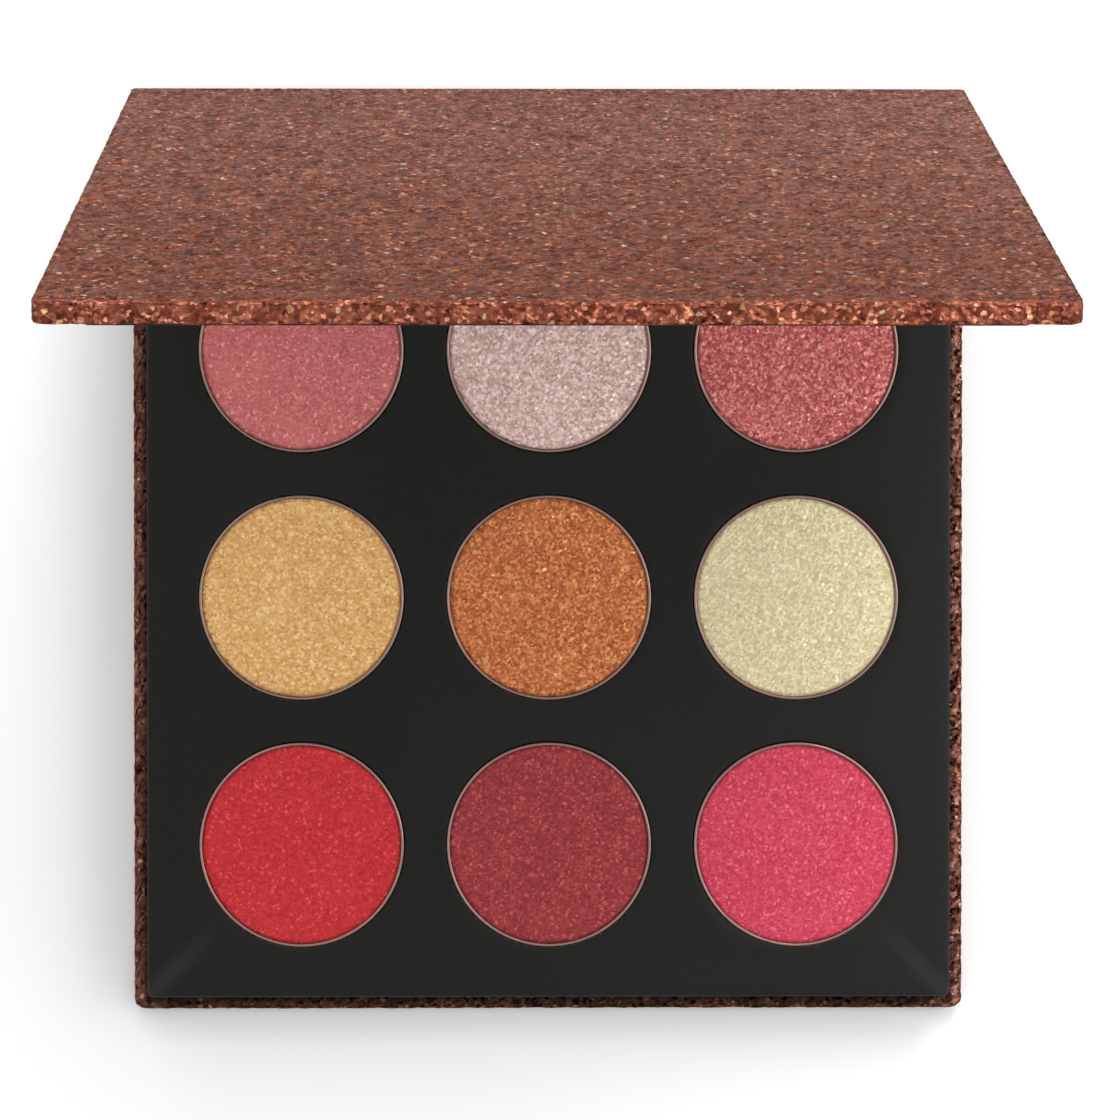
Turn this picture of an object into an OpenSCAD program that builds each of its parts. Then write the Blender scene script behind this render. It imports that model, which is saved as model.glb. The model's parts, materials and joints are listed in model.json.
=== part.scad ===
// Eyeshadow palette: nine round pans sunk in a black tray, inside a folding case.
// The case is two covers and a spine strip, wrapped in one sheet of glitter paper.
// Origin: middle of the back cover's underside. +X right, +Y to the spine, +Z up.

/* [Pans] */
// Outside diameter of a round metal pan
pan_d = 26; // [20:0.1:37]
// Height of a pan
pan_h = 4; // [3:0.1:8]
// Thickness of a pan's sheet metal
pan_sheet = 0.4; // [0.2:0.02:0.6]
// Radius of the edge between a pan's floor and its side
pan_edge_r = 0.8; // [0.7:0.02:1.5]
// Height of a pan's rim above the platform
pan_proud = 0.1; // [0:0.02:0.5]
// Depth of the powder's edge below the rim
powder_drop = 0.3; // [0.1:0.05:1]
// Card between two neighbouring pans
pan_bridge = 5.4; // [3:0.1:12]
// Card between the outer pans and the tray's left and right sides
side_border = 6.6; // [5:0.1:20]
// Card between the outer pans and the tray's front and back
end_border = 6.4; // [5:0.1:20]

/* [Tray] */
// Thickness of the card that the pans are sunk in
platform_t = 1.5; // [1:0.05:2]
// Thickness of the board that the pans stand on
deck_t = 1.9; // [1:0.05:4]
// Thickness of the frame boards inside the tray's sides
wall_t = 1.5; // [1:0.05:3]
// Thickness of the tray's black paper
paper_t = 0.2; // [0.1:0.01:0.4]
// Width of black paper folded in under the tray
paper_fold = 8; // [4:0.1:16]
// Radius of the tray's upright corners
tray_corner_r = 1; // [0.6:0.05:3]
// Diameter of the adhesive dot under a pan
dot_d = 18; // [10:0.5:19]
// Thickness of the adhesive dot under a pan
dot_t = 0.2; // [0.1:0.01:0.5]

/* [Case] */
// Width of cover that shows round the tray
ledge = 2.3; // [1.8:0.05:6]
// Thickness of the greyboard in both covers
board_t = 1.8; // [1.5:0.01:3]
// Thickness of the greyboard in the spine
spine_board_t = 1.2; // [0.8:0.01:1.4]
// Thickness of the glitter paper
glitter_t = 0.3; // [0.2:0.01:0.4]
// Width of glitter paper folded in over the boards' edges
turn_in = 12; // [8:0.1:20]
// Thickness of the black hinge paper and lid paper
liner_t = 0.2; // [0.1:0.01:0.3]
// Radius of the covers' front corners
cover_corner_r = 1.5; // [0.8:0.05:5]
// Angle of the lid from shut, as it stands open
open_angle = 72; // [0:1:90]

/* [Mirror] */
// Thickness of the card frame round the mirror
frame_t = 1.2; // [1.15:0.05:3]
// Width of the card frame round the mirror
frame_border = 4.5; // [4:0.1:15]
// Black lid paper that shows outside the card frame
frame_inset = 2.5; // [2.4:0.1:6]
// Thickness of the mirror glass
mirror_t = 1; // [0.7:0.05:1]
// Thickness of the film that holds the mirror
mirror_film_t = 0.1; // [0.05:0.01:0.15]

/* [Magnets] */
// Diameter of a closing magnet
magnet_d = 8; // [5:0.1:10]
// Thickness of a closing magnet
magnet_t = 1.5; // [1:0.05:1.5]
// Card between a magnet's pocket and the platform's front edge
magnet_edge = 1.9; // [1:0.05:4]

/* [Clearances] */
// Gap round a pan in its hole
pan_gap = 0.15; // [0.05:0.01:0.4]
// Gap between the powder and the pan's side
powder_gap = 0.02; // [0.01:0.01:0.1]
// Gap round a magnet in its pocket
magnet_gap = 0.1; // [0.05:0.01:0.3]
// Gap round the mirror in its frame, and round the deck in the tray
board_gap = 0.2; // [0.05:0.01:0.5]
// Gap between the shut lid's frame and the pan rims
closed_gap = 0.15; // [0.1:0.01:1]
// Gap between a round crease and the sheet that turns about it
crease_play = 0.02; // [0.01:0.01:0.05]
// Gap between a cover's papered edge and the upright spine paper
edge_gap = 0.1; // [0.05:0.01:0.3]
// Gap between a cover's inner face and the upright spine board
gutter_gap = 0.3; // [0.1:0.05:1]

/* [Hidden] */
$fn = 96;
CUT = 1; // overshoot of a cut past the face it opens
ROWS = ["back", "middle", "front"];
COLUMNS = ["left", "middle", "right"];
SHADES = concat(
    ["dusty_rose", "pink_silver", "coral"],
    ["gold", "copper", "champagne"],
    ["red", "burgundy", "hot_pink"]
);
TINTS = concat(
    ["indianred", "rosybrown", "lightcoral"],
    ["burlywood", "peru", "palegoldenrod"],
    ["crimson", "brown", "palevioletred"]
);
PANS = 3; // pans in a row, and rows
GLITTER = "rosybrown";
BLACK = "#23231f";
GREYBOARD = "darkgray";

function pan_name(row, column) = str("pan_", ROWS[row], "_", COLUMNS[column]);
function shade_name(row, column) = str("shade_", SHADES[row * PANS + column]);

// Pans and tray
pitch = pan_d + pan_bridge;
pans_span = PANS * pan_d + (PANS - 1) * pan_bridge;
hole_d = pan_d + 2 * pan_gap;
tray_w = pans_span + 2 * side_border;
tray_d = pans_span + 2 * end_border;
tray_h = paper_t + deck_t + dot_t + pan_h - pan_proud;

// Covers, measured up from a cover's outer face
case_w = tray_w + 2 * ledge;
case_d = tray_d + 2 * ledge;
board_top = glitter_t + board_t;
cover_t = board_top + glitter_t;
frame_bottom = cover_t + liner_t;

// Heights in the back cover's frame
tray_top = cover_t + tray_h;
platform_bottom = tray_top - paper_t - platform_t;
deck_bottom = cover_t + paper_t;
deck_top = deck_bottom + deck_t;
pan_bottom = deck_top + dot_t;
rim_top = pan_bottom + pan_h;
closed_t = rim_top + closed_gap + frame_t + frame_bottom;

// Creases: the first is fixed to the back cover, the second to the spine
crease_r = glitter_t / 2;
crease_y = case_d / 2;
crease_z = crease_r;
spine_span = closed_t - 2 * crease_r;
sheet_start = crease_r + crease_play;
cover_back = crease_y - crease_r - liner_t - edge_gap;
gutter = frame_bottom - crease_r + gutter_gap;
gutter_paper_start = crease_r + liner_t;

flap_start = case_w / 2 - turn_in;
glue_half_w = min(flap_start, tray_w / 2 - paper_fold) - board_gap;
glue_half_d = min(case_d / 2 - turn_in, tray_d / 2 - paper_fold) - board_gap;
mirror_w = tray_w - 2 * (frame_inset + frame_border);
mirror_d = tray_d - 2 * (frame_inset + frame_border);
magnet_y = -(tray_d / 2 - paper_t - magnet_edge - magnet_gap - magnet_d / 2);

// ---- shared shapes ----

module slab(z, thickness) translate([0, 0, z]) linear_extrude(thickness) children();

module round_rectangle(width, depth, r) {
    square([width - 2 * r, depth], center = true);
    square([width, depth - 2 * r], center = true);
    for (x = [-1, 1], y = [-1, 1])
        translate([x * (width / 2 - r), y * (depth / 2 - r)]) circle(r);
}

// A cover's outline brought in from its edges, rounded at the front, square at the spine
module cover_outline(inset, back_y) {
    half_w = case_w / 2 - inset;
    front_y = -case_d / 2 + inset;
    r = max(cover_corner_r - inset, 0);
    translate([-half_w, front_y + r]) square([2 * half_w, back_y - front_y - r]);
    if (r > 0) {
        translate([-half_w + r, front_y]) square([2 * (half_w - r), 2 * r]);
        for (side = [-1, 1])
            translate([side * (half_w - r), front_y + r]) circle(r);
    }
}

// Glitter paper round a cover board: outer sheet, edges and the folded-in borders
module cover_wrap(sheet_back) {
    difference() {
        slab(0, cover_t) cover_outline(0, cover_back);
        slab(glitter_t, board_t) cover_outline(glitter_t, cover_back + CUT);
        slab(board_top, glitter_t + CUT) cover_outline(turn_in, cover_back + CUT);
    }
    translate([-case_w / 2, cover_back, 0]) cube([case_w, sheet_back - cover_back, glitter_t]);
}

module cover_board() slab(glitter_t, board_t) cover_outline(glitter_t, cover_back - liner_t);

// Black paper down a cover board's spine edge
module edge_paper() {
    half_w = case_w / 2 - glitter_t;
    translate([-half_w, cover_back - liner_t, glitter_t]) cube([2 * half_w, liner_t, board_t]);
}

module crease(z) translate([-case_w / 2, crease_y, z]) rotate([0, 90, 0]) cylinder(case_w, r = crease_r);

module magnet_pair(diameter, z, height)
    for (side = [-1, 1]) translate([side * pitch / 2, magnet_y, z]) cylinder(height, d = diameter);

// Stands the shut spine and lid open about the first crease
module opened()
    translate([0, crease_y, crease_z]) rotate([-open_angle, 0, 0])
        translate([0, -crease_y, -crease_z]) children();

// Lays a cover drawn on its outer face over the shut palette, then opens it
module on_lid() opened() translate([0, 0, closed_t]) mirror([0, 0, 1]) children();

// A block on the upright spine: along is measured up from the first crease,
// inward from the middle of the spine's glitter paper
module spine_block(x0, x1, along0, along1, inward0, inward1)
    translate([x0, crease_y - inward1, crease_z + along0])
        cube([x1 - x0, inward1 - inward0, along1 - along0]);

module at_pan(row, column) translate([(column - 1) * pitch, (1 - row) * pitch, 0]) children();

// ---- back cover ----

module back_board() color(GREYBOARD) cover_board();

module back_wrap() color(GLITTER) {
    cover_wrap(crease_y);
    crease(crease_z);
}

module back_liner() color(BLACK) {
    front_y = glue_half_d + board_gap;
    translate([-flap_start, front_y, board_top]) cube([2 * flap_start, cover_back - front_y, liner_t]);
    edge_paper();
}

module glue_pad() color("ivory")
    slab(board_top, deck_bottom - board_top) square([2 * glue_half_w, 2 * glue_half_d], center = true);

// ---- tray ----

module tray_outline(inset)
    round_rectangle(tray_w - 2 * inset, tray_d - 2 * inset, tray_corner_r - min(inset, tray_corner_r / 2));

module pan_holes(z, height)
    for (row = [0:PANS - 1], column = [0:PANS - 1])
        at_pan(row, column) translate([0, 0, z]) cylinder(height, d = hole_d);

module tray_paper() color(BLACK) difference() {
    slab(cover_t, tray_h) tray_outline(0);
    slab(cover_t + paper_t, tray_h - 2 * paper_t) tray_outline(paper_t);
    slab(cover_t - CUT, paper_t + 2 * CUT)
        square([tray_w - 2 * paper_fold, tray_d - 2 * paper_fold], center = true);
    pan_holes(tray_top - paper_t - CUT, paper_t + 2 * CUT);
}

module platform_card() color(GREYBOARD) difference() {
    slab(platform_bottom, platform_t) tray_outline(paper_t);
    pan_holes(platform_bottom - CUT, platform_t + 2 * CUT);
    magnet_pair(magnet_d + 2 * magnet_gap, platform_bottom - CUT, platform_t + 2 * CUT);
}

module tray_walls() color(GREYBOARD)
    slab(deck_bottom, platform_bottom - deck_bottom) difference() {
        tray_outline(paper_t);
        square([tray_w - 2 * (paper_t + wall_t), tray_d - 2 * (paper_t + wall_t)], center = true);
    }

module pan_deck() color(GREYBOARD) {
    inset = 2 * (paper_t + wall_t + board_gap);
    slab(deck_bottom, deck_t) square([tray_w - inset, tray_d - inset], center = true);
}

module tray_magnets() color("silver") magnet_pair(magnet_d, tray_top - paper_t - magnet_t, magnet_t);

module pan_glue_dots() color("ivory")
    for (row = [0:PANS - 1], column = [0:PANS - 1])
        at_pan(row, column) translate([0, 0, deck_top]) cylinder(dot_t, d = dot_d);

// Half-section of a round dish: flat floor, rounded lower edge, upright side
module dish_section(radius, bottom, top, edge_r) {
    translate([0, bottom]) square([radius - edge_r, top - bottom]);
    translate([0, bottom + edge_r]) square([radius, top - bottom - edge_r]);
    intersection() {
        translate([radius - edge_r, bottom + edge_r]) circle(edge_r);
        translate([0, bottom]) square([radius, top - bottom]);
    }
}

module pan(row, column) color("silver") at_pan(row, column) rotate_extrude() difference() {
    dish_section(pan_d / 2, pan_bottom, rim_top, pan_edge_r);
    dish_section(pan_d / 2 - pan_sheet, pan_bottom + pan_sheet, rim_top + CUT, pan_edge_r - pan_sheet);
}

module shade(row, column) color(TINTS[row * PANS + column]) at_pan(row, column) rotate_extrude()
    dish_section(
        pan_d / 2 - pan_sheet - powder_gap,
        pan_bottom + pan_sheet,
        rim_top - powder_drop,
        pan_edge_r - pan_sheet
    );

// ---- spine ----

spine_end = case_w / 2 - glitter_t;
spine_low = gutter + liner_t;
spine_high = spine_span - gutter - liner_t;
spine_board_in = crease_r + spine_board_t;
spine_paper_in = spine_board_in + glitter_t;

module spine_board() color(GREYBOARD) opened()
    spine_block(-spine_end, spine_end, spine_low, spine_high, crease_r, spine_board_in);

// Outer sheet with the second crease, and the two folded-in ends
module spine_wrap() color(GLITTER) opened() {
    spine_block(-case_w / 2, case_w / 2, sheet_start, spine_span, -crease_r, crease_r);
    crease(crease_z + spine_span);
    for (side = [0, 1]) mirror([side, 0, 0]) {
        spine_block(spine_end, case_w / 2, spine_low, spine_high, 0, spine_paper_in);
        spine_block(flap_start, case_w / 2, spine_low, spine_high, spine_board_in, spine_paper_in);
    }
}

module spine_infill() color(GREYBOARD) opened()
    spine_block(-flap_start, flap_start, spine_low, spine_high, spine_board_in, spine_paper_in);

// Black paper over the spine board's face and long edges, and across both gutters
module spine_liner() color(BLACK) opened() {
    half_w = case_w / 2 - ledge;
    spine_block(-half_w, half_w, gutter, spine_span - gutter, spine_paper_in, spine_paper_in + liner_t);
    for (along = [gutter, spine_high])
        spine_block(-half_w, half_w, along, along + liner_t, crease_r, spine_paper_in);
    for (along = [gutter_paper_start, spine_span - gutter])
        spine_block(
            -half_w, half_w, along, along + gutter - gutter_paper_start, crease_r, crease_r + liner_t
        );
}

// ---- lid ----

module lid_board() color(GREYBOARD) on_lid() difference() {
    cover_board();
    magnet_pair(magnet_d + 2 * magnet_gap, board_top - magnet_t, magnet_t + CUT);
}

module lid_wrap() color(GLITTER) on_lid() cover_wrap(crease_y - sheet_start);

module lid_infill() color(GREYBOARD) on_lid()
    slab(board_top, glitter_t) cover_outline(turn_in, cover_back - liner_t);

// Black paper over the lid's inner face, between the folded-in ends and down the board's spine edge
module lid_liner() color(BLACK) on_lid() {
    slab(cover_t, liner_t) cover_outline(ledge, cover_back);
    translate([-flap_start, cover_back - liner_t, board_top]) cube([2 * flap_start, liner_t, glitter_t]);
    edge_paper();
}

module lid_magnets() color("silver") on_lid() magnet_pair(magnet_d, board_top - magnet_t, magnet_t);

module mirror_frame() color(BLACK) on_lid() slab(frame_bottom, frame_t) difference() {
    tray_outline(frame_inset);
    square([mirror_w + 2 * board_gap, mirror_d + 2 * board_gap], center = true);
}

module mirror_film() color("ivory") on_lid()
    slab(frame_bottom, mirror_film_t) square([mirror_w, mirror_d], center = true);

module mirror_glass() color("lightblue") on_lid()
    slab(frame_bottom + mirror_film_t, mirror_t) square([mirror_w, mirror_d], center = true);

// ---- what is drawn ----

back_board();
back_wrap();
back_liner();
glue_pad();
pan_deck();
tray_walls();
platform_card();
tray_paper();
pan_glue_dots();
tray_magnets();
spine_board();
spine_wrap();
spine_infill();
spine_liner();
lid_board();
lid_wrap();
lid_infill();
lid_liner();
lid_magnets();
mirror_frame();
mirror_film();
mirror_glass();  // mirror
for (row = [0:PANS - 1], column = [0:PANS - 1]) {
    pan(row, column);
    shade(row, column);
}
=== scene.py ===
import json
import math
import random

import bmesh
import bpy
from mathutils import Matrix, Vector


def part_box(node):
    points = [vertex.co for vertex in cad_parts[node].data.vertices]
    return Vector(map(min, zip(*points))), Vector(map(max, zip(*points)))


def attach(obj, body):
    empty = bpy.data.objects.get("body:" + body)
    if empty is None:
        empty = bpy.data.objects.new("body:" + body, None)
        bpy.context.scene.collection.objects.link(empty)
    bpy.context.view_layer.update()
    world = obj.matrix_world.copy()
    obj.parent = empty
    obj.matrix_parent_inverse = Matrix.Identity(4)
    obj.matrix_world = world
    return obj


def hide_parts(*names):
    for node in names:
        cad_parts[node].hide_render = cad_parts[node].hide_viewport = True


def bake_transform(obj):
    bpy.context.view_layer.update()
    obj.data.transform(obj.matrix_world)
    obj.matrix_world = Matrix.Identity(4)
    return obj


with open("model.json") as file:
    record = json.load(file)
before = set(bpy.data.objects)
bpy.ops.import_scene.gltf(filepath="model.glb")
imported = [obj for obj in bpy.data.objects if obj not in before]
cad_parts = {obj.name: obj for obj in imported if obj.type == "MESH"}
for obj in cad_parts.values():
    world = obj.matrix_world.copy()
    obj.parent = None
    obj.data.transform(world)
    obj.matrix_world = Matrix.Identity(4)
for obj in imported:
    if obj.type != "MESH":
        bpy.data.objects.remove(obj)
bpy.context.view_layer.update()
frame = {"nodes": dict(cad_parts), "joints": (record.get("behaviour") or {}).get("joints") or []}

# Meshes are drawn in millimetres and scaled to metres when they are finished.
METRE = 0.001
TURN = 2 * math.pi


def corners(node):
    """Lowest and highest corner of a CAD node, in millimetres."""
    low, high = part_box(node)
    return low / METRE, high / METRE


# ---- sizes taken from the frame ----

CASE_LOW, CASE_HIGH = corners("back_wrap")
TRAY_LOW, TRAY_HIGH = corners("tray_paper")
JOINTS = {joint["name"]: joint for joint in frame["joints"]}
FOLD_1, FOLD_2 = (
    Vector(JOINTS[name]["pos_m"]) / METRE for name in ("spine_fold", "lid_fold")
)
OPEN = math.radians(JOINTS["spine_fold"]["range_deg"][1])
HALF_SHEET = FOLD_1.z
SHEET = 2 * HALF_SHEET
HALF_W = CASE_HIGH.x
FRONT = CASE_LOW.y
COVER_TOP = CASE_HIGH.z
COVER_BACK = corners("back_liner")[1].y
FLAP = corners("spine_infill")[1].x
TURN_IN = HALF_W - FLAP
SPINE = (FOLD_2 - FOLD_1).length
SHUT_HEIGHT = SPINE + SHEET
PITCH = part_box("pan_back_right")[1].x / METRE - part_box("pan_back_middle")[1].x / METRE
PAN_R = corners("pan_middle_middle")[1].x
PAN_LOW = corners("pan_middle_middle")[0].z
RIM_TOP = corners("pan_middle_middle")[1].z
MIRROR_HALF_W = corners("mirror")[1].x
MIRROR_HALF_D = MIRROR_HALF_W - TRAY_HIGH.x + TRAY_HIGH.y
FRAME_HALF_W = corners("mirror_frame")[1].x
FRAME_HALF_D = FRAME_HALF_W - TRAY_HIGH.x + TRAY_HIGH.y
GUTTER_LINING = corners("spine_liner")[1].x

# ---- sizes that a node's box doesn't give, the same as in the part ----

LINING = 0.2
FRAME_BOARD = 1.2
MIRROR_FILM = 0.1
MIRROR_GLASS = 1.0
PAN_SHEET = 0.4
PAN_EDGE = 0.8
POWDER_GAP = 0.02
POWDER_DROP = 0.3
HOLE_GAP = 0.15
BOARD_GAP = 0.2
CORNER_R = 1.5
TRAY_FOLD = 8.0
HOLE_R = PAN_R + HOLE_GAP

# ---- the glitter sheet's skin: its cells, rounded rim, and how far the grit moves them ----

CELL = 0.72
RIM_R = 0.42
GRIT = 0.2
RIM_GRIT = 0.09
SLIP = 0.16

# ---- the spine's sheet: where it meets the creases, where its board begins, how deep it is ----

SPINE_JOIN = 0.6
SPINE_SIDE = 2.95
SPINE_DEPTH = 1.8

# ---- seeds of the random grain ----

BACK_SEED = 1
LID_SEED = 2
SPINE_SEED = 5
FIRST_POWDER_SEED = 31

ROWS = ("back", "middle", "front")
COLUMNS = ("left", "middle", "right")
SHADES = (
    ("dusty_rose", "pink_silver", "coral"),
    ("gold", "copper", "champagne"),
    ("red", "burgundy", "hot_pink"),
)

# Shut to standing open, about the first crease
STAND_OPEN = (
    Matrix.Translation(FOLD_1)
    @ Matrix.Rotation(-OPEN, 4, "X")
    @ Matrix.Translation(-FOLD_1)
)
# A cover drawn on its outer face, turned over onto the shut palette and opened
ON_LID = STAND_OPEN @ Matrix.Translation((0, 0, SHUT_HEIGHT)) @ Matrix.Diagonal((1, 1, -1, 1))
# The spine drawn lying flat, its outer face down, stood upright at the first crease and opened
ON_SPINE = (
    STAND_OPEN
    @ Matrix.Translation((0, FOLD_1.y + HALF_SHEET, FOLD_1.z))
    @ Matrix.Rotation(math.pi / 2, 4, "X")
)


# ---- materials ----


class Wire:
    """An output in a node tree. Sums on it add Math nodes."""

    def __init__(self, tree, socket=None):
        self.tree = tree
        self.socket = socket

    def node(self, kind, inputs=(), output=0, stops=(), **settings):
        made = self.tree.nodes.new("ShaderNode" + kind)
        for name, value in settings.items():
            setattr(made, name, value)
        if stops:
            ramp = made.color_ramp
            ramp.elements.remove(ramp.elements[-1])
            for index, (place, colour) in enumerate(stops):
                if index == 0:
                    ramp.elements[0].position = place
                    stop = ramp.elements[0]
                else:
                    stop = ramp.elements.new(place)
                stop.color = colour
        for name, value in dict(inputs).items():
            if isinstance(value, Wire):
                self.tree.links.new(value.socket, made.inputs[name])
            else:
                made.inputs[name].default_value = value
        return Wire(self.tree, made.outputs[output])

    def sum(self, operation, *values):
        return self.node("Math", dict(enumerate(values)), operation=operation)

    def vector(self, operation, *values, output=0):
        return self.node("VectorMath", dict(enumerate(values)), output, operation=operation)

    def __add__(self, other):
        return self.sum("ADD", self, other)

    def __radd__(self, other):
        return self.sum("ADD", other, self)

    def __sub__(self, other):
        return self.sum("SUBTRACT", self, other)

    def __rsub__(self, other):
        return self.sum("SUBTRACT", other, self)

    def __mul__(self, other):
        return self.sum("MULTIPLY", self, other)

    def __rmul__(self, other):
        return self.sum("MULTIPLY", other, self)

    def __gt__(self, other):
        return self.sum("GREATER_THAN", self, other)

    def __lt__(self, other):
        return self.sum("LESS_THAN", self, other)

    def __abs__(self):
        return self.sum("ABSOLUTE", self)

    def part(self, axis):
        return self.node("SeparateXYZ", {0: self}, axis)

    def ramp(self, *stops, interpolation="LINEAR"):
        made = self.node("ValToRGB", {0: self}, stops=stops)
        made.socket.node.color_ramp.interpolation = interpolation
        return made

    def span(self, low, high):
        """0 at low, 1 at high, and smooth between."""
        return self.node(
            "MapRange", {0: self, 1: low, 2: high}, interpolation_type="SMOOTHSTEP"
        )

    def mix(self, factor, other, blend="MIX"):
        return self.node(
            "Mix", {0: factor, 6: self, 7: other}, 2, data_type="RGBA", blend_type=blend
        )


def paint(red, green, blue, gain=1.0):
    """Display values from 0 to 255 as a linear colour."""
    return tuple(((v / 255 + 0.055) / 1.055) ** 2.4 * gain for v in (red, green, blue)) + (1.0,)


def grey(level):
    return (level, level, level, 1.0)


def finish(name, **fixed):
    """A new material: a wire to start from, its object coordinates, and its shader node."""
    made = bpy.data.materials.new(name)
    made.use_nodes = True
    shader = made.node_tree.nodes["Principled BSDF"]
    for socket, value in fixed.items():
        shader.inputs[socket.replace("_", " ")].default_value = value
    wire = Wire(made.node_tree)
    place = wire.node("TexCoord", output=3)
    return made, wire, place, shader


def feed(shader, **links):
    for socket, wire in links.items():
        wire.tree.links.new(wire.socket, shader.inputs[socket.replace("_", " ")])


def noise(wire, place, scale, detail=2.0, rough=0.5, output=0):
    return wire.node(
        "TexNoise", {"Vector": place, "Scale": scale, "Detail": detail, "Roughness": rough}, output
    )


def cells(wire, place, scale, feature="F1", output=1):
    return wire.node("TexVoronoi", {"Vector": place, "Scale": scale}, output, feature=feature)


def bump(wire, height, strength, distance, normal=None):
    inputs = {"Strength": strength, "Distance": distance, "Height": height}
    if normal is not None:
        inputs["Normal"] = normal
    return wire.node("Bump", inputs)


def tilted(wire, chance, amount):
    """The surface's normal, leaned a random way in each cell."""
    normal = wire.node("NewGeometry", output=1)
    lean = wire.vector("SUBTRACT", chance, (0.5, 0.5, 0.5))
    scaled = wire.node("VectorMath", {0: lean, "Scale": amount}, operation="SCALE")
    return wire.vector("NORMALIZE", wire.vector("ADD", normal, scaled))


FLAKES_PER_METRE = 2300


def glitter_finish():
    """Glitter paper: each flake has its own tone, roughness and lean."""
    made, wire, place, shader = finish(
        "rose gold glitter", Metallic=1.0, Specular_Tint=(0.7, 0.62, 0.61, 1.0)
    )
    flake = cells(wire, place, FLAKES_PER_METRE)
    tone = flake.part(0)
    base = tone.ramp(
        (0.0, paint(83, 49, 43)),
        (0.2, paint(101, 62, 52)),
        (0.5, paint(124, 76, 64)),
        (0.75, paint(142, 91, 76)),
        (0.92, paint(163, 114, 96)),
        (1.0, paint(196, 155, 136)),
    )
    # A few flakes are rosier and a few more orange
    hue = flake.part(1)
    base = base.mix(hue.span(0.72, 1.0) * 0.5, paint(138, 86, 84))
    base = base.mix((1 - hue).span(0.8, 1.0) * 0.45, paint(160, 92, 56))
    edge = cells(wire, place, FLAKES_PER_METRE, "DISTANCE_TO_EDGE", 0)
    base = base.mix(edge.span(0.12, 0.0) * 0.4, paint(38, 19, 16))
    # Clumps, and larger patches where the flakes lie thicker
    clump = noise(wire, place, 560, 1.0)
    base = base.mix(clump.span(0.48, 0.3) * 0.45, paint(70, 38, 31))
    base = base.mix(clump.span(0.52, 0.7) * 0.4, paint(156, 108, 92))
    cloud = noise(wire, place, 90, 3.0)
    base = base.mix(cloud.span(0.62, 0.38) * 0.2, paint(80, 43, 35))
    # Painted shade: the sheet is darkened and browned up the lid towards its free edge, standing in
    # for the paler sheen the hinge end shows
    height = place.part(2)
    base = base.mix(height.span(0.01, 0.1) * 0.8, (0.76, 0.57, 0.43, 1.0), "MULTIPLY")
    # Painted highlight: the strip where the sheet turns over the lid's free edge is lightened, as
    # light falls on that edge
    base = base.mix(height.span(0.1034, 0.1044), (1.5, 1.42, 1.44, 1.0), "MULTIPLY")
    # Painted glints: sparse flakes painted pale gold to near white, as if they caught the light
    spark = cells(wire, place, 1900)
    bright = spark.part(2) > 0.976
    gold = spark.part(0).ramp(
        (0.0, paint(255, 150, 70)), (0.5, paint(255, 200, 140)), (1.0, paint(255, 240, 222))
    )
    base = base.mix(bright * 0.32, gold)
    # Painted shade: the ledge is darkened where it meets the tray, in the tray's shadow
    off_tray = wire.sum(
        "MAXIMUM",
        abs(place.part(0)) - TRAY_HIGH.x * METRE,
        (abs(place.part(1)) - TRAY_HIGH.y * METRE) * 0.5,
    )
    on_ledge = (height > 0.85 * COVER_TOP * METRE) * (height < 1.5 * COVER_TOP * METRE)
    base = base.mix(off_tray.span(0.0019, 0.0004) * on_ledge * 0.92, paint(32, 25, 22))
    feed(
        shader,
        Base_Color=base,
        Roughness=flake.part(2) * 0.25 + 0.36,
        Normal=tilted(wire, flake, 0.8),
    )
    return made


def card_finish():
    """Black paper with a satin face and fine fibres."""
    made, wire, place, shader = finish("black satin paper", Specular_IOR_Level=0.2)
    fibre = noise(wire, place, 2600, 3.0, 0.6)
    patch = noise(wire, place, 26, 3.0)
    streak = noise(wire, wire.vector("MULTIPLY", place, (1.0, 9.0, 1.0)), 420, 2.0)
    base = fibre.ramp((0.25, paint(7, 7, 4)), (0.75, paint(16, 16, 12)))
    base = base.mix(patch.span(0.4, 0.7) * 0.25, paint(26, 26, 22))
    dot = cells(wire, place, 900, "F1", 0).span(0.09, 0.04)
    speck = dot * cells(wire, place, 900).part(0).span(0.9, 0.95)
    base = base.mix(speck * 0.6, paint(60, 58, 56))
    # Painted sheen: the card is painted paler along the mitred folds at the tray's corners, as light
    # catches them
    from_side = TRAY_HIGH.x * METRE - abs(place.part(0))
    from_front = TRAY_HIGH.y * METRE - abs(place.part(1))
    mitre_sheen = abs(from_side - from_front).span(0.0028, 0.0) * from_side.span(0.011, 0.003)
    on_top = (place.part(2) > 0.9 * TRAY_HIGH.z * METRE) * (place.part(2) < RIM_TOP * METRE)
    base = base.mix(mitre_sheen * on_top * 0.35, paint(46, 45, 42))
    rough = 0.44 + fibre * 0.1 + patch * 0.08
    relief = fibre * 0.6 + streak * 0.3 + patch * 0.5
    feed(shader, Base_Color=base, Roughness=rough, Normal=bump(wire, relief, 0.35, 0.00002))
    return made


def greyboard_finish():
    made, wire, place, shader = finish("grey board", Specular_IOR_Level=0.2)
    ply = noise(wire, wire.vector("MULTIPLY", place, (1.0, 1.0, 14.0)), 500, 4.0, 0.6)
    fibre = noise(wire, place, 2400, 3.0, 0.65)
    base = ply.ramp((0.3, paint(150, 146, 138)), (0.7, paint(184, 180, 171)))
    base = base.mix(fibre.span(0.62, 0.75) * 0.5, paint(110, 104, 96))
    feed(
        shader,
        Base_Color=base,
        Roughness=0.78 + fibre * 0.18,
        Normal=bump(wire, fibre + ply, 0.5, 0.00006),
    )
    return made


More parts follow.
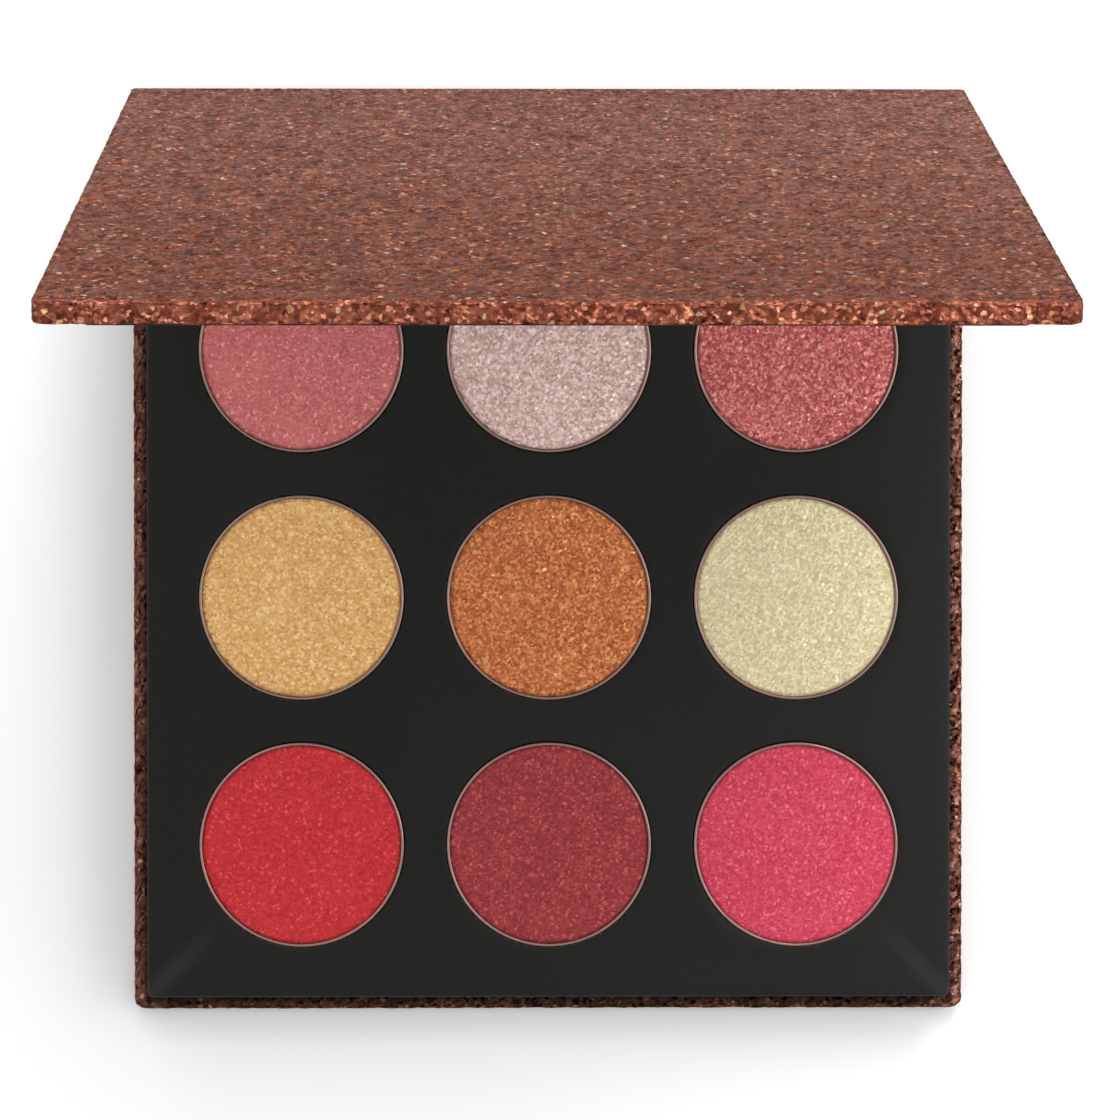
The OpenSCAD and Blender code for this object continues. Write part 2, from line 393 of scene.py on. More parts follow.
def adhesive_finish():
    made, wire, place, shader = finish("clear adhesive", Specular_IOR_Level=0.5)
    swirl = noise(wire, place, 240, 4.0, 0.55)
    bubble = cells(wire, place, 1300, "F1", 0).span(0.2, 0.1)
    base = swirl.ramp((0.35, paint(196, 186, 160)), (0.7, paint(226, 219, 198)))
    base = base.mix(bubble * 0.4, paint(240, 236, 224))
    feed(
        shader,
        Base_Color=base,
        Roughness=0.25 + swirl * 0.3,
        Normal=bump(wire, swirl - bubble * 0.4, 0.5, 0.00008),
    )
    return made


def magnet_finish():
    made, wire, place, shader = finish("nickel plate", Metallic=1.0)
    fine = noise(wire, place, 3200, 2.0)
    smear = noise(wire, place, 300, 3.0)
    base = fine.ramp((0.3, paint(172, 170, 166)), (0.7, paint(204, 202, 198)))
    base = base.mix(smear.span(0.5, 0.8) * 0.4, paint(150, 146, 140))
    feed(
        shader,
        Base_Color=base,
        Roughness=0.22 + smear * 0.2,
        Normal=bump(wire, fine, 0.3, 0.00002),
    )
    return made


def mirror_finish():
    """Silvered glass: nearly perfect, with a trace of dust and wiping."""
    made, wire, place, shader = finish("silvered mirror", Metallic=1.0)
    wipe = noise(wire, wire.vector("MULTIPLY", place, (1.0, 5.0, 5.0)), 60, 3.0)
    dust = cells(wire, place, 800, "F1", 0).span(0.06, 0.02)
    base = wipe.ramp((0.3, paint(226, 230, 230)), (0.7, paint(238, 241, 241)))
    base = base.mix(dust * 0.25, paint(205, 205, 202))
    feed(shader, Base_Color=base, Roughness=0.015 + wipe * 0.02 + dust * 0.12)
    return made


def pan_finish():
    """Tinplate turned on a lathe: fine rings about each pan's own middle."""
    made, wire, place, shader = finish("pan tinplate", Metallic=1.0)
    middle = PITCH * METRE / 2
    own_pan = wire.vector("WRAP", place, (middle, middle, 1.0), (-middle, -middle, -1.0))
    flat = wire.vector("MULTIPLY", own_pan, (1.0, 1.0, 0.0))
    radius = wire.vector("LENGTH", flat, output=1)
    section = wire.node("CombineXYZ", {0: radius * 30.0, 1: place.part(2) * 30.0})
    ring = noise(wire, section, 320, 2.0)
    grime = noise(wire, place, 700, 3.0)
    base = ring.ramp((0.3, paint(122, 96, 90)), (0.7, paint(160, 131, 123)))
    base = base.mix(grime.span(0.55, 0.8) * 0.5, paint(106, 72, 66))
    feed(
        shader,
        Base_Color=base,
        Roughness=0.26 + grime * 0.22,
        Normal=bump(wire, ring, 0.25, 0.00002),
    )
    return made


# Each powder: the colours of its dark grain, body, light grain and spark, then its grains per
# metre, its share of sparks, and how metallic it is
POWDERS = {
    "dusty_rose": (
        (166, 80, 81), (184, 98, 97), (201, 117, 114), (224, 153, 148),
        3600, 0.05, 0.25,
    ),
    "pink_silver": (
        (171, 138, 131), (200, 167, 158), (219, 190, 182), (230, 208, 201),
        3400, 0.14, 0.4,
    ),
    "coral": (
        (141, 60, 59), (171, 83, 80), (198, 113, 107), (212, 141, 134),
        3300, 0.16, 0.4,
    ),
    "gold": (
        (184, 135, 78), (206, 159, 98), (219, 178, 120), (231, 197, 140),
        3500, 0.1, 0.35,
    ),
    "copper": (
        (143, 73, 38), (177, 98, 54), (202, 125, 75), (216, 151, 95),
        3300, 0.18, 0.45,
    ),
    "champagne": (
        (187, 175, 134), (198, 186, 148), (207, 196, 160), (216, 207, 178),
        3500, 0.07, 0.35,
    ),
    "red": (
        (160, 24, 32), (179, 33, 41), (192, 46, 53), (211, 76, 79),
        3800, 0.05, 0.25,
    ),
    "burgundy": (
        (120, 34, 38), (138, 42, 46), (156, 56, 59), (182, 84, 85),
        3600, 0.07, 0.3,
    ),
    "hot_pink": (
        (172, 42, 65), (186, 53, 76), (195, 68, 89), (211, 100, 118),
        3800, 0.06, 0.25,
    ),
}


def powder_finish(shade):
    """Pressed shimmer: packed grains with random leans, and sparse bright platelets."""
    dark, body, light, spark, scale, share, shine = POWDERS[shade]
    made, wire, place, shader = finish(
        "powder " + shade, Metallic=shine, Specular_IOR_Level=0.3, Sheen_Weight=0.08
    )
    grain = cells(wire, place, scale)
    tone = grain.part(0)
    base = tone.ramp(
        (0.0, paint(*dark)), (0.4, paint(*body)), (0.6, paint(*body)), (1.0, paint(*light))
    )
    crumb = noise(wire, place, scale * 0.35, 3.0, 0.6)
    base = base.mix(crumb.span(0.45, 0.7) * 0.35, paint(*dark))
    cloud = noise(wire, place, 160, 2.0)
    base = base.mix(cloud.span(0.5, 0.75) * 0.25, paint(*light))
    platelet = cells(wire, place, scale * 0.8)
    bright = platelet.part(2) > 1 - share
    base = base.mix(bright * 0.7, paint(*spark))
    relief = crumb + grain.part(1) * 0.3
    feed(
        shader,
        Base_Color=base,
        Roughness=0.62 - bright * 0.24 - tone * 0.1,
        Normal=bump(wire, relief, 0.5, 0.00005, tilted(wire, grain, 0.44)),
    )
    return made


def floor_finish():
    made, wire, place, shader = finish("studio floor", Specular_IOR_Level=0.1)
    patch = noise(wire, place, 3.0)
    base = patch.ramp((0.3, grey(0.72)), (0.7, grey(0.735)))
    feed(shader, Base_Color=base, Roughness=0.85 + patch * 0.1)
    return made


GLITTER = glitter_finish()
CARD = card_finish()
GREYBOARD = greyboard_finish()
ADHESIVE = adhesive_finish()
MAGNET = magnet_finish()
MIRROR = mirror_finish()
TINPLATE = pan_finish()


# ---- mesh helpers ----


def new_piece(name, bm, material, body, nodes=(), placed=None, smooth=False, blend=None):
    """Closes a mesh drawn in millimetres into a finished piece that rides on a body; given a blend,
    it is only baked in place and rides on no body.
    """
    if placed is not None:
        bmesh.ops.transform(bm, matrix=placed, verts=bm.verts)
    bmesh.ops.transform(bm, matrix=Matrix.Scale(METRE, 4), verts=bm.verts)
    bmesh.ops.recalc_face_normals(bm, faces=bm.faces)
    mesh = bpy.data.meshes.new(name)
    for face in bm.faces:
        face.smooth = smooth
    bm.to_mesh(mesh)
    bm.free()
    mesh.materials.append(material)
    piece = bpy.data.objects.new(name, mesh)
    bpy.context.scene.collection.objects.link(piece)
    if blend:
        blend[1] * METRE
        blend[2] * METRE
        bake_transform(piece)
    else:
        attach(piece, body)
    if nodes:
        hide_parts(*nodes)
    return piece


def bevel(bm, edges, offset, segments):
    bmesh.ops.bevel(
        bm,
        geom=list(edges),
        offset=offset,
        segments=segments,
        profile=0.5,
        affect="EDGES",
        material=-1,
        clamp_overlap=True,
    )


def extrude(bm, geometry, by):
    """Extrudes faces or edges, moves the new points, and returns them."""
    if isinstance(geometry[0], bmesh.types.BMFace):
        made = bmesh.ops.extrude_face_region(bm, geom=geometry)["geom"]
    else:
        made = bmesh.ops.extrude_edge_only(bm, edges=geometry)["geom"]
    points = [g for g in made if isinstance(g, bmesh.types.BMVert)]
    bmesh.ops.translate(bm, verts=points, vec=by)
    return points


def steps(stops, cell):
    """Grid lines through the given stops, with cells no wider than cell between them."""
    lines = [stops[0]]
    for low, high in zip(stops, stops[1:]):
        count = max(1, math.ceil((high - low) / cell - 1e-6))
        lines += [low + (high - low) * i / count for i in range(1, count + 1)]
    return lines


def grid(bm, xs, ys, z):
    """A flat grid with its lines at the given places."""
    made = bmesh.ops.create_grid(bm, x_segments=len(xs) - 1, y_segments=len(ys) - 1, size=1)["verts"]
    for point in made:
        column = round((point.co.x + 1) / 2 * (len(xs) - 1))
        row = round((point.co.y + 1) / 2 * (len(ys) - 1))
        point.co = (xs[column], ys[row], z)
    return made


def round_corner(points, x, y, r):
    """Moves the points in a square corner onto a quarter circle of radius r."""
    side_x, side_y = math.copysign(1, x), math.copysign(1, y)
    centre_x, centre_y = x - side_x * r, y - side_y * r
    for point in points:
        u = (point.co.x - centre_x) * side_x / r
        v = (point.co.y - centre_y) * side_y / r
        if u > 0 and v > 0:
            point.co.x = centre_x + side_x * r * u * math.sqrt(1 - v * v / 2)
            point.co.y = centre_y + side_y * r * v * math.sqrt(1 - u * u / 2)


def thicken(bm, thickness):
    """Gives a sheet a wall on its inner side, and returns the points of its outer side."""
    outer = {tuple(round(c, 4) for c in point.co) for point in bm.verts}
    bmesh.ops.solidify(bm, geom=bm.faces[:] + bm.edges[:] + bm.verts[:], thickness=thickness)
    return [point for point in bm.verts if tuple(round(c, 4) for c in point.co) in outer]


def roughen(bm, points, seed):
    """Makes a gritty skin inside the same box: points drop a little and slip sideways."""
    bmesh.ops.recalc_face_normals(bm, faces=bm.faces)
    bm.normal_update()
    low = Vector(min(point.co[axis] for point in points) for axis in range(3))
    high = Vector(max(point.co[axis] for point in points) for axis in range(3))
    draw = random.Random(seed)
    moves = []
    for point in points:
        sideways = Vector(draw.uniform(-SLIP, SLIP) for _ in range(3))
        normal = point.normal
        flat = max(abs(normal[axis]) for axis in range(3)) > 0.98
        drop = draw.uniform(0, GRIT if flat else RIM_GRIT)
        moves.append(sideways - normal * (sideways.dot(normal) + drop))
    for point, move in zip(points, moves):
        at = point.co + move
        point.co = (min(max(at[axis], low[axis]), high[axis]) for axis in range(3))


def wrapped(xs, ys, height, flap_x, flap_y, corner_r=0):
    """A sheet folded over a board's edges: outer face, walls, and borders turned in.

    flap_x is where the borders turned in at the ends stop. flap_y says where the border along the
    front stops, where the one along the back starts, and from where on the ends have borders.
    """
    bm = bmesh.new()
    grid(bm, xs, ys, 0.0)
    skin = bm.faces[:]
    extrude(bm, skin, (0, 0, height))
    upright = [e for e in bm.edges if abs(e.verts[0].co.z - e.verts[1].co.z) > height / 2]
    bmesh.ops.subdivide_edges(bm, edges=upright, cuts=3, use_grid_fill=True)
    low, high, walled_to = flap_y
    gone = []
    for face in bm.faces:
        middle = face.calc_center_median()
        if middle.z < 1e-3:
            continue
        on_top = middle.z > height - 1e-3
        at_side = abs(middle.x) > xs[-1] - 1e-3
        at_front = middle.y < ys[0] + 1e-3 and walled_to <= ys[0]
        if on_top and (abs(middle.x) < flap_x and middle.y > low or middle.y > high):
            gone.append(face)
        elif on_top and middle.y < walled_to:
            gone.append(face)
        elif not on_top and not at_front and not (at_side and walled_to < middle.y < high):
            gone.append(face)
    bmesh.ops.delete(bm, geom=gone, context="FACES")
    if corner_r:
        for side in (-1, 1):
            round_corner(bm.verts, side * xs[-1], ys[0], corner_r)
    bmesh.ops.recalc_face_normals(bm, faces=bm.faces)
    return bm


def outward(bm):
    """Turns an open sheet so that its flat outer face looks down."""
    bm.faces.ensure_lookup_table()
    flat = min(bm.faces, key=lambda f: f.calc_center_median().z)
    if flat.normal.z >= 0:
        bmesh.ops.reverse_faces(bm, faces=bm.faces[:])


def rims(bm):
    """Edges where a wall meets the outer face or a turned-in border."""
    found = []
    for edge in bm.edges:
        if len(edge.link_faces) != 2:
            continue
        a, b = (abs(face.normal.z) for face in edge.link_faces)
        if (a > 0.9) != (b > 0.9):
            found.append(edge)
    return found


def cover_piece(name, body, node, placed, seed):
    """A cover's glitter paper, drawn as the back cover lies."""
    xs = steps((-HALF_W, -HALF_W + CORNER_R, -FLAP, FLAP, HALF_W - CORNER_R, HALF_W), CELL)
    ys = steps((FRONT, FRONT + CORNER_R, FRONT + TURN_IN, COVER_BACK), CELL)
    bm = wrapped(xs, ys, COVER_TOP, FLAP, (FRONT + TURN_IN, COVER_BACK, FRONT), CORNER_R)
    outward(bm)
    bevel(bm, rims(bm), RIM_R, 3)
    roughen(bm, thicken(bm, SHEET), seed)
    return new_piece(name, bm, GLITTER, body, [node], placed)


def spine_piece(seed):
    """The spine's glitter paper, turned in at both ends."""
    high = SPINE - SPINE_SIDE
    xs = steps((-HALF_W, -FLAP, FLAP, HALF_W), CELL)
    ys = steps((SPINE_JOIN, SPINE_SIDE, high, SPINE - SPINE_JOIN), CELL)
    bm = wrapped(xs, ys, SPINE_DEPTH, FLAP, (SPINE_SIDE, high, SPINE_SIDE))
    outward(bm)
    roughen(bm, thicken(bm, SHEET), seed)
    return new_piece(
        "spine_glitter", bm, GLITTER, "spine", ["spine_wrap"], ON_SPINE
    )


def spine_corners():
    """Glitter paper tucked over the spine board's corners, four small tabs."""
    bm = bmesh.new()
    inner, outer = GUTTER_LINING + 0.02, HALF_W - 0.06
    tab_height = 1.45
    tab_middle = 1.05
    edge_r = 0.06
    for side in (-1, 1):
        for start in (SPINE_SIDE - LINING, SPINE - SPINE_SIDE):
            tab = bmesh.ops.create_cube(bm, size=1)["verts"]
            bmesh.ops.scale(bm, verts=tab, vec=(outer - inner, LINING, tab_height))
            middle = (side * (inner + outer) / 2, start + LINING / 2, tab_middle)
            bmesh.ops.translate(bm, verts=tab, vec=middle)
    bevel(bm, bm.edges[:], edge_r, 2)
    return new_piece("spine_corners", bm, GLITTER, "spine", placed=ON_SPINE)


def crease_piece(name, bodies, fold, lean, bend, span, rise, half_w, material):
    """Paper bent across a crease, drawn flat and then turned about the crease."""
    reach = 0.45
    end_dip = 0.45
    end_curve = 2.2
    bm = bmesh.new()
    xs = steps((-half_w, half_w), 1.2)
    ys = steps(span, 0.12)
    grid(bm, xs, ys, rise[0])
    extrude(bm, bm.faces[:], (0, 0, rise[1] - rise[0]))
    for point in bm.verts:
        t = min(1, max(0, (point.co.y + reach) / (2 * reach)))
        turn = bend * t * t * (3 - 2 * t)
        # The bent paper's ends draw in a little
        if abs(point.co.x) > half_w - 1e-3:
            point.co.x *= 1 - max(0, end_dip - point.co.y**2 * end_curve) / half_w
        point.co = Matrix.Rotation(turn, 3, "X") @ point.co
    placed = Matrix.Translation(fold) @ Matrix.Rotation(lean, 4, "X")
    before = placed @ Vector((0, -reach, 0))
    after = placed @ (Matrix.Rotation(bend, 3, "X") @ Vector((0, reach, 0)))
    blend = (bodies[1], before, after)
    return new_piece(name, bm, material, bodies[0], placed=placed, blend=blend)


def nearest_hole(place):
    """The middle of the pan hole that a point belongs to, at the point's height."""
    x = max(-1, min(1, round(place.x / PITCH))) * PITCH
    y = max(-1, min(1, round(place.y / PITCH))) * PITCH
    return Vector((x, y, place.z))


def on_hole(point, within):
    """Whether a point lies on the rim of the pan hole nearest to it."""
    return abs((point.co - nearest_hole(point.co)).xy.length - HOLE_R) < within


def hole_cell(bm, xs, ys, middle):
    """One ninth of the tray's top: a hole, and a sheet from it out to a rectangle."""
    side = 24
    around = 4 * side
    ring = bmesh.ops.create_circle(
        bm, segments=around, radius=HOLE_R, matrix=Matrix.Translation(middle)
    )["verts"]
    edges = list({e for v in ring for e in v.link_edges})
    outer = extrude(bm, edges, (0, 0, 0))
    (x0, x1), (y0, y1) = xs, ys
    # Points are counted from the rectangle's first corner, three eighths of a turn back
    corner = TURN * 3 / 8

    def place_in_turn(point):
        turn = math.atan2(point.co.y - middle.y, point.co.x - middle.x) + corner
        return round(turn / TURN * around)

    for point in ring:
        angle = TURN * (place_in_turn(point) / around - 3 / 8)
        point.co = middle + HOLE_R * Vector((math.cos(angle), math.sin(angle), 0))
    for point in outer:
        edge, along = divmod(place_in_turn(point) % around, side)
        t = along / side
        x, y = (
            (x0 + (x1 - x0) * t, y0),
            (x1, y0 + (y1 - y0) * t),
            (x1 + (x0 - x1) * t, y1),
            (x0, y1 + (y0 - y1) * t),
        )[edge]
        point.co = (x, y, middle.z)


def lift_mitres(bm):
    """The paper's corner folds lie under the top and lift it a hair along the diagonals."""
    lift = 0.07
    half_width = 1.0
    reach = 11
    for point in bm.verts:
        if point.co.z > TRAY_HIGH.z - 0.01:
            from_side_x = TRAY_HIGH.x - abs(point.co.x)
            from_side_y = TRAY_HIGH.y - abs(point.co.y)
            off = abs(from_side_x - from_side_y)
            along = (from_side_x + from_side_y) / 2
            if off < half_width and 1.0 < along < reach:
                point.co.z += lift * (1 - off) * (1 - along / reach)


def tray_piece():
    """Black paper over the card with nine holes, down its sides and in underneath."""
    corner_r = 0.75
    rim_r = 0.4
    lip_r = 0.09
    top = TRAY_HIGH.z
    bm = bmesh.new()
    xs = (TRAY_LOW.x, -PITCH / 2, PITCH / 2, TRAY_HIGH.x)
    ys = (TRAY_LOW.y, -PITCH / 2, PITCH / 2, TRAY_HIGH.y)
    for column in range(3):
        for row in range(3):
            middle = Vector(((column - 1) * PITCH, (row - 1) * PITCH, top))
            hole_cell(bm, xs[column : column + 2], ys[row : row + 2], middle)
    bmesh.ops.remove_doubles(bm, verts=bm.verts, dist=0.01)
    spokes = [
        e
        for e in bm.edges
        if len(e.link_faces) == 2 and on_hole(e.verts[0], 0.01) != on_hole(e.verts[1], 0.01)
    ]
    bmesh.ops.subdivide_edges(bm, edges=spokes, cuts=5, use_grid_fill=True)
    outer_rim = [
        e
        for e in bm.edges
        if len(e.link_faces) == 1
        and (e.verts[0].co - nearest_hole(e.verts[0].co)).length > HOLE_R + 0.5
    ]
    extrude(bm, outer_rim, (0, 0, TRAY_LOW.z - top))
    upright = [
        e
        for e in bm.edges
        if abs(e.verts[0].co.z - e.verts[1].co.z) > 1
        and abs(abs(e.verts[0].co.x) - TRAY_HIGH.x) < 0.01
        and abs(abs(e.verts[0].co.y) - TRAY_HIGH.y) < 0.01
    ]
    bevel(bm, upright, corner_r, 6)
    bm.normal_update()
    bevel(bm, rims(bm), rim_r, 4)
    foot = [e for e in bm.edges if len(e.link_faces) == 1 and e.verts[0].co.z < TRAY_LOW.z + 0.01]
    folded = extrude(bm, foot, (0, 0, 0))
    reach_x, reach_y = TRAY_HIGH.x - TRAY_FOLD, TRAY_HIGH.y - TRAY_FOLD
    for point in folded:
        point.co.x = min(reach_x, max(-reach_x, point.co.x))
        point.co.y = min(reach_y, max(-reach_y, point.co.y))
    bmesh.ops.remove_doubles(bm, verts=bm.verts, dist=0.005)
    lift_mitres(bm)
    bmesh.ops.recalc_face_normals(bm, faces=bm.faces)
    bm.faces.ensure_lookup_table()
    highest = max(bm.faces, key=lambda f: f.calc_center_median().z)
    if highest.normal.z < 0:
        bmesh.ops.reverse_faces(bm, faces=bm.faces[:])
    thicken(bm, LINING)
    bm.normal_update()
    lips = [
        e
        for e in bm.edges
        if len(e.link_faces) == 2
        and all(on_hole(v, 0.02) and v.co.z > top - 0.05 for v in e.verts)
    ]
    bevel(bm, lips, lip_r, 2)
    piece = new_piece("tray_card", bm, CARD, "base", ["tray_paper"], smooth=True)
    shade_smooth_by_angle(piece)
    return piece


def shade_smooth_by_angle(piece, angle=35):
    """Keeps flat faces flat and rounded edges soft."""
    bm = bmesh.new()
    bm.from_mesh(piece.data)
    for edge in bm.edges:
        edge.smooth = len(edge.link_faces) == 2 and edge.calc_face_angle(0) < math.radians(angle)
    bm.to_mesh(piece.data)
    bm.free()


def lathe(profile, around):
    """A closed turned shape from half a section that starts and ends on the axis."""
    bm = bmesh.new()
    points = [bm.verts.new((r, 0, z)) for r, z in profile]
    edges = [bm.edges.new(pair) for pair in zip(points, points[1:])]
    bmesh.ops.spin(
        bm,
        geom=points + edges,
        cent=(0, 0, 0),
        axis=(0, 0, 1),
        angle=TURN,
        steps=around,
        use_merge=True,
        use_duplicate=False,
    )
    bmesh.ops.remove_doubles(bm, verts=bm.verts, dist=1e-4)
    return bm


def arc(centre_r, centre_z, r, start, end, count):
    """Points of a section on a round edge, angles in degrees from the outward side."""
    turns = [math.radians(start + (end - start) * i / count) for i in range(count + 1)]
    return [(centre_r + r * math.cos(a), centre_z + r * math.sin(a)) for a in turns]


def pan_piece(row, column):
    """A drawn tin cup: flat floor, rounded foot, upright wall and a rounded lip."""
    floor_ring = 6
    edge_ring = PAN_R - PAN_EDGE - 0.4
    lip = PAN_SHEET / 2
    inner = PAN_R - PAN_SHEET
    profile = [(0, PAN_LOW), (floor_ring, PAN_LOW), (edge_ring, PAN_LOW)]
    profile += arc(PAN_R - PAN_EDGE, PAN_LOW + PAN_EDGE, PAN_EDGE, -90, 0, 6)
    profile += [(PAN_R, (PAN_LOW + RIM_TOP) / 2)]
    profile += arc(PAN_R - lip, RIM_TOP - lip, lip, 0, 180, 8)
    profile += [(inner, (PAN_LOW + RIM_TOP) / 2)]
    bend = PAN_EDGE - PAN_SHEET
    profile += arc(inner - bend, PAN_LOW + PAN_SHEET + bend, bend, 0, -90, 4)
    profile += [(floor_ring, PAN_LOW + PAN_SHEET), (0, PAN_LOW + PAN_SHEET)]
    bm = lathe(profile, 128)
    name = "{}_{}".format(ROWS[row], COLUMNS[column])
    placed = Matrix.Translation(((column - 1) * PITCH, (1 - row) * PITCH, 0))
    piece = new_piece(
        "tin_" + name, bm, TINPLATE, "base", ["pan_" + name], placed, True
    )
    shade_smooth_by_angle(piece, 50)
    return piece


def powder_piece(row, column):
    """A pressed powder disc with a gently crowned, grainy top and a softened edge."""
    shade = SHADES[row][column]
    cells_across = 64
    foot_inset = 0.34
    crown_height = 0.1
    edge_width = 0.5
    edge_fall = 0.16
    grain_height = 0.035
    r = PAN_R - PAN_SHEET - POWDER_GAP
    edge_z = RIM_TOP - POWDER_DROP
    bottom = PAN_LOW + PAN_SHEET
    bm = bmesh.new()
    bmesh.ops.create_grid(bm, x_segments=cells_across, y_segments=cells_across, size=1)
    for point in bm.verts:
        u, v = point.co.x, point.co.y
        point.co.x = r * u * math.sqrt(1 - v * v / 2)
        point.co.y = r * v * math.sqrt(1 - u * u / 2)
        point.co.z = edge_z
    faces = bm.faces[:]
    low = set(extrude(bm, faces, (0, 0, bottom - edge_z)))
    for point in low:
        if point.co.xy.length > r - 0.01:
            point.co.x *= 1 - foot_inset / r
            point.co.y *= 1 - foot_inset / r
    draw = random.Random(FIRST_POWDER_SEED + row * 3 + column)
    for point in bm.verts:
        if point in low:
            continue
        out = point.co.xy.length
        crown = crown_height * (1 - (out / r) ** 2)
        fall = max(0.0, 1 - (r - out) / edge_width)
        grit = draw.uniform(-grain_height, grain_height) if out < r - 0.05 else 0.0
        point.co.z += crown - edge_fall * fall * fall + grit
    placed = Matrix.Translation(((column - 1) * PITCH, (1 - row) * PITCH, 0))
    return new_piece(
        "powder_" + shade,
        bm,
        powder_finish(shade),
        "base",
        ["shade_" + shade],
        placed,
    )


def slab(half_x, half_y, low, high, corner_r, opening=None):
    """A board with rounded upright corners, and a rectangular opening if asked."""
    bm = bmesh.new()
    grid(bm, (-half_x, half_x), (-half_y, half_y), low)
    if opening:
        inset = bmesh.ops.inset_region(
            bm, faces=bm.faces[:], thickness=opening, use_boundary=True, use_even_offset=True
        )["faces"]
        centre = [f for f in bm.faces if f not in inset]
        bmesh.ops.delete(bm, geom=centre, context="FACES")
    extrude(bm, bm.faces[:], (0, 0, high - low))
    if corner_r:
        upright = [
            e
            for e in bm.edges
            if abs(e.verts[0].co.z - e.verts[1].co.z) > (high - low) / 2
            and abs(abs(e.verts[0].co.x) - half_x) < 1e-3
        ]
        bevel(bm, upright, corner_r, 5)
    bmesh.ops.recalc_face_normals(bm, faces=bm.faces)
    return bm


def sharp(bm):
    bm.normal_update()
    return [
        e for e in bm.edges if len(e.link_faces) == 2 and e.calc_face_angle(0) > math.radians(50)
    ]


def mirror_pieces():
    """The mirror and its card frame, drawn on the back cover and turned onto the lid."""
    frame_corner_r = 0.6
    frame_edge = 0.28
    glass_edge = 0.22
    bottom = COVER_TOP + LINING
    border = FRAME_HALF_W - MIRROR_HALF_W - BOARD_GAP
    bm = slab(FRAME_HALF_W, FRAME_HALF_D, bottom, bottom + FRAME_BOARD, frame_corner_r, border)
    bevel(bm, sharp(bm), frame_edge, 3)
    card = new_piece(
        "mirror_border", bm, CARD, "lid", ["mirror_frame"], ON_LID, True
    )
    shade_smooth_by_angle(card)
    low = bottom + MIRROR_FILM
    bm = slab(MIRROR_HALF_W, MIRROR_HALF_D, low, low + MIRROR_GLASS, 0)
    bevel(bm, sharp(bm), glass_edge, 2)
    glass = new_piece("mirror_plate", bm, MIRROR, "lid", ["mirror"], ON_LID, True)
    shade_smooth_by_angle(glass, 20)


# ---- the palette ----

CAD_FINISHES = {
    "black_paper": (CARD, ("back_liner", "spine_liner", "lid_liner")),
    "greyboard": (
        GREYBOARD,
        (
            "back_board",
            "pan_deck",
            "tray_walls",
            "platform_card",
            "spine_board",
            "spine_infill",
            "lid_board",
            "lid_infill",
        ),
    ),
    "adhesive": (ADHESIVE, ("glue_pad", "pan_glue_dots", "mirror_film")),
    "magnet": (MAGNET, ("tray_magnets", "lid_magnets")),
}
for material, names in CAD_FINISHES.values():
    for name in names:
        slots = frame["nodes"][name].data.materials
        if slots:
            for index in range(len(slots)):
                slots[index] = material
        else:
            slots.append(material)

cover_piece("back_glitter", "base", "back_wrap", None, BACK_SEED)
cover_piece("lid_glitter", "lid", "lid_wrap", ON_LID, LID_SEED)
spine_piece(SPINE_SEED)
spine_corners()

QUARTER = math.pi / 2
# Each crease's paper lies between these heights, and reaches this far onto the spine
GLITTER_RISE = (-HALF_SHEET + 0.04, HALF_SHEET)
GLITTER_REACH = 0.6
LINING_RISE = (HALF_SHEET, HALF_SHEET + 0.12)
LINING_REACH = 0.35
for number, bodies, fold, lean, bend in (
    (1, ("base", "spine"), FOLD_1, 0.0, QUARTER - OPEN),
    (2, ("spine", "lid"), FOLD_2, QUARTER - OPEN, QUARTER),
):
    cover_side = COVER_BACK - FOLD_1.y
    if number == 1:
        glitter_span = (cover_side, GLITTER_REACH)
        lining_span = (cover_side, LINING_REACH)
    else:
        glitter_span = (-GLITTER_REACH, -cover_side)
        lining_span = (-LINING_REACH, -cover_side)
    crease_piece(
        "crease_glitter_{}".format(number),
        bodies,
        fold,
        lean,
        bend,
        glitter_span,
        GLITTER_RISE,
        HALF_W - 0.05,
        GLITTER,
    )
    crease_piece(
        "crease_lining_{}".format(number),
        bodies,
        fold,
        lean,
        bend,
        lining_span,
        LINING_RISE,
        GUTTER_LINING,
        CARD,
    )

tray_piece()
for row in range(3):
    for column in range(3):
        pan_piece(row, column)
        powder_piece(row, column)
mirror_pieces()

# ---- floor, lights and camera ----

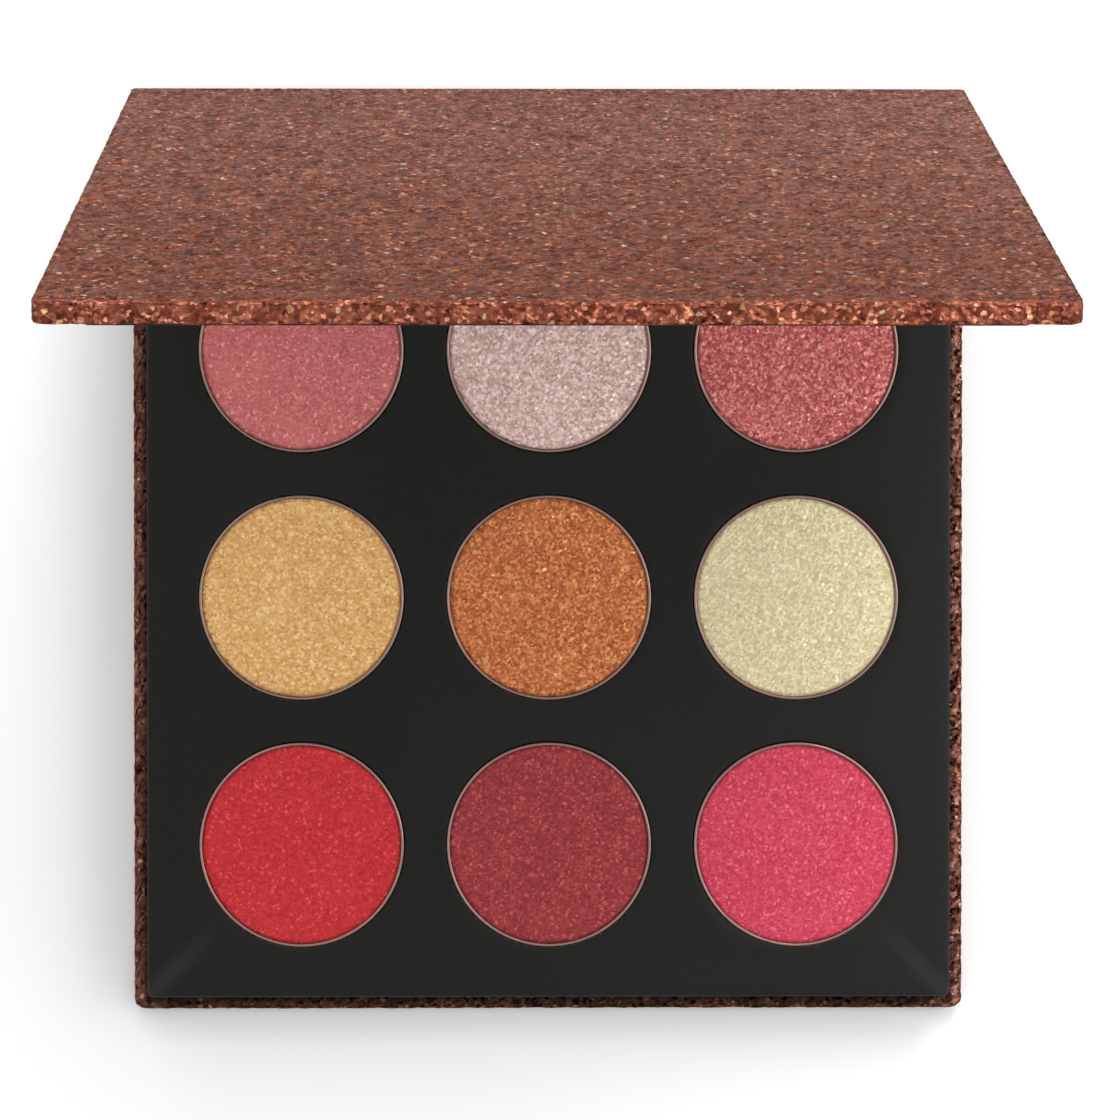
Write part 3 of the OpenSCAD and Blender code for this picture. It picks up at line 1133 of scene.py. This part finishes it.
bm = bmesh.new()
bmesh.ops.create_grid(bm, x_segments=8, y_segments=8, size=3.0)
mesh = bpy.data.meshes.new("floor")
bm.to_mesh(mesh)
bm.free()
mesh.materials.append(floor_finish())
floor = bpy.data.objects.new("floor", mesh)
floor.location.z = -0.0001
bpy.context.scene.collection.objects.link(floor)

world = bpy.data.worlds.new("studio")
bpy.context.scene.world = world
world.use_nodes = True
sky = Wire(world.node_tree)
toward = sky.node("TexCoord", output=0)
background = world.node_tree.nodes["Background"]
glow = toward.part(2).ramp(
    (0.0, grey(0.55)),
    (0.3, grey(0.6)),
    (0.5, grey(0.75)),
    (0.7, grey(0.8)),
    (0.9, grey(0.45)),
    (1.0, grey(0.2)),
)
# Brighter from the back and the right
LEAN_BACK = 0.4
LEAN_RIGHT = 0.1
SKY = 2.06
strength = (1 + toward.part(1) * LEAN_BACK + toward.part(0) * LEAN_RIGHT) * SKY
world.node_tree.links.new(glow.socket, background.inputs["Color"])
world.node_tree.links.new(strength.socket, background.inputs["Strength"])


def soft_light(name, place, aim, size, power):
    lamp = bpy.data.lights.new(name, "AREA")
    lamp.shape = "DISK"
    lamp.size = size
    lamp.energy = power
    holder = bpy.data.objects.new(name, lamp)
    holder.location = place
    holder.rotation_euler = (Vector(aim) - Vector(place)).to_track_quat("-Z", "Y").to_euler()
    bpy.context.scene.collection.objects.link(holder)


soft_light("back panel", (0.2, 0.9, 0.8), (0, 0, 0), 0.7, 9.0)
soft_light("side panel", (0.21, 0.02, 0.22), (0.02, 0, 0), 0.14, 0.19)

bpy.context.scene.view_settings.view_transform = "Standard"
camera_data = bpy.data.cameras.new("camera")
camera_data.sensor_width = 36
camera_data.lens = 119.134
camera_data.clip_start = 0.01
camera = bpy.data.objects.new("camera", camera_data)
camera.location = (-0.00464062, 0.01177617, 0.47894829)
camera.rotation_euler = tuple(math.radians(a) for a in (-0.8545437, -0.7356934, -0.0034522))
bpy.context.scene.collection.objects.link(camera)
bpy.context.scene.camera = camera

bpy.context.view_layer.update()
